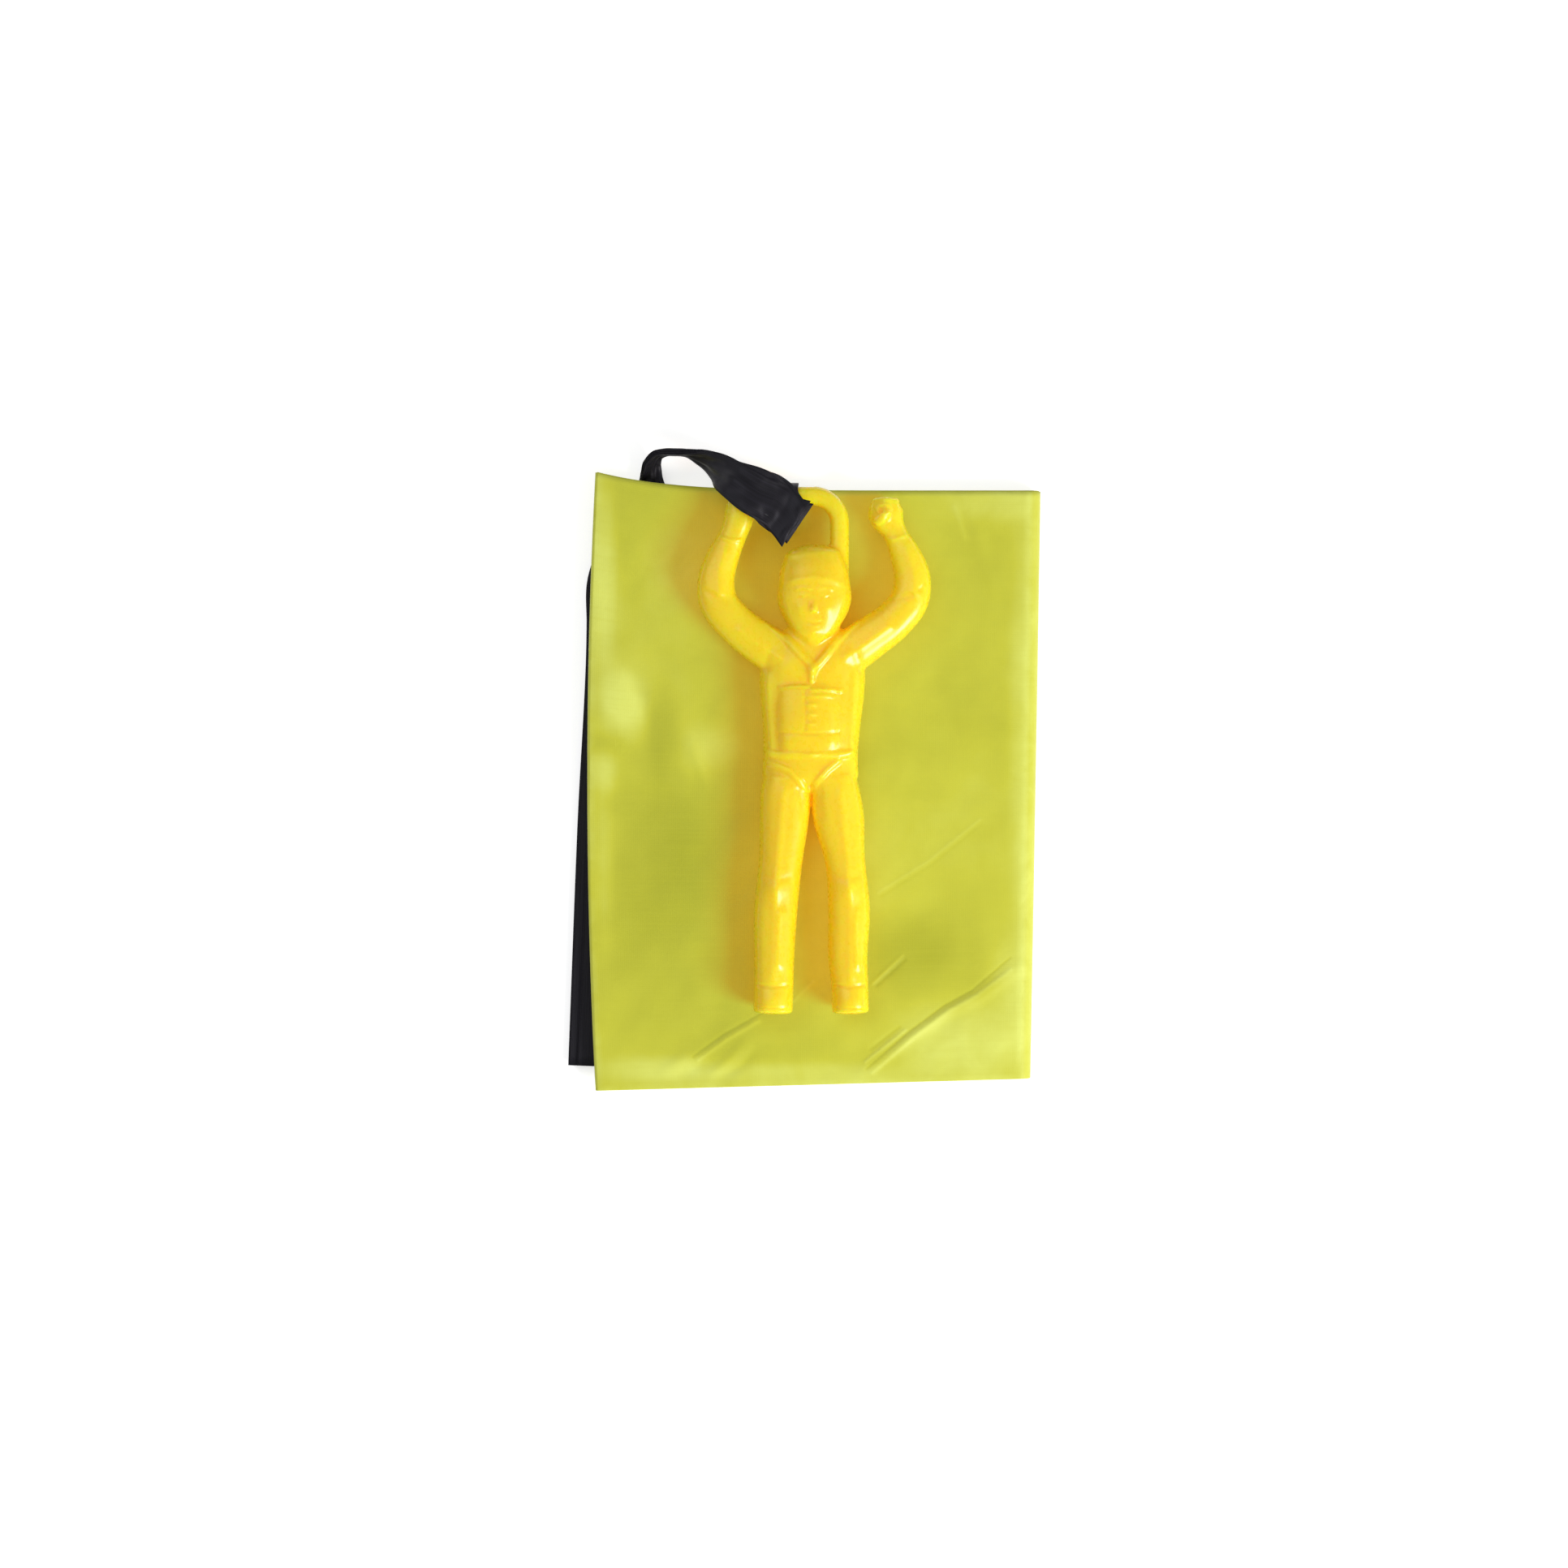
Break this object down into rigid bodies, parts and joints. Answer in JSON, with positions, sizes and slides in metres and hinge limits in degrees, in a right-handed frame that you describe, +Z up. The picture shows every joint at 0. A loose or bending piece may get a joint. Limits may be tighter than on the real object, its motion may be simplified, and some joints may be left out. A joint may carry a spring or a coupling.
{
  "type": "toy parachute",
  "caption": "Packed toy parachute: folded nylon canopy, flat riser strips and a moulded skydiver hanging by a hook in a sewn loop.",
  "frame": {"origin": "middle of the folded canopy's flat underside, on the surface it lies on", "axes": "+Y along the packet towards the figure's hook, +Z up out of the surface, +X to the figure's left hand side"},
  "size_m": [0.1051, 0.1424, 0.0175],
  "materials": {
    "canopy_nylon": "thin plain-weave nylon with a soft sheen",
    "riser_satin": "black satin ribbon",
    "black_thread": "matt polyester thread",
    "figure_plastic": "soft gloss injection-moulded plastic"
  },
  "bodies": {
    "packet": {"canopy": "canopy_nylon", "riser_1_stowed": "riser_satin", "riser_2_stowed": "riser_satin", "riser_3_stowed": "riser_satin", "riser_4_stowed": "riser_satin", "corner_tack_1": "black_thread", "corner_tack_2": "black_thread", "corner_tack_3": "black_thread", "corner_tack_4": "black_thread"},
    "riser_bundle": {"riser_1_lead": "riser_satin", "riser_2_lead": "riser_satin", "riser_3_lead": "riser_satin", "riser_4_lead": "riser_satin", "loop_bar_tack": "black_thread"},
    "loop": {"hook_loop": "riser_satin"},
    "figure": {"skydiver_figure": "figure_plastic"}
  },
  "joints": [
    {"name": "riser_lift", "type": "hinge", "parent": "packet", "child": "riser_bundle", "pos_m": [-0.031, 0.0736, 0.0061], "axis": [-1, 0, 0], "range_deg": [0, 140]},
    {"name": "figure_swing", "type": "hinge", "parent": "riser_bundle", "child": "loop", "pos_m": [-0.0056, 0.0637, 0.0102], "axis": [-1, 0, 0], "range_deg": [0, 20]},
    {"name": "figure_unhook", "type": "slide", "parent": "loop", "child": "figure", "axis": [1, 0, 0], "range_m": [0, 0.005]}
  ]
}
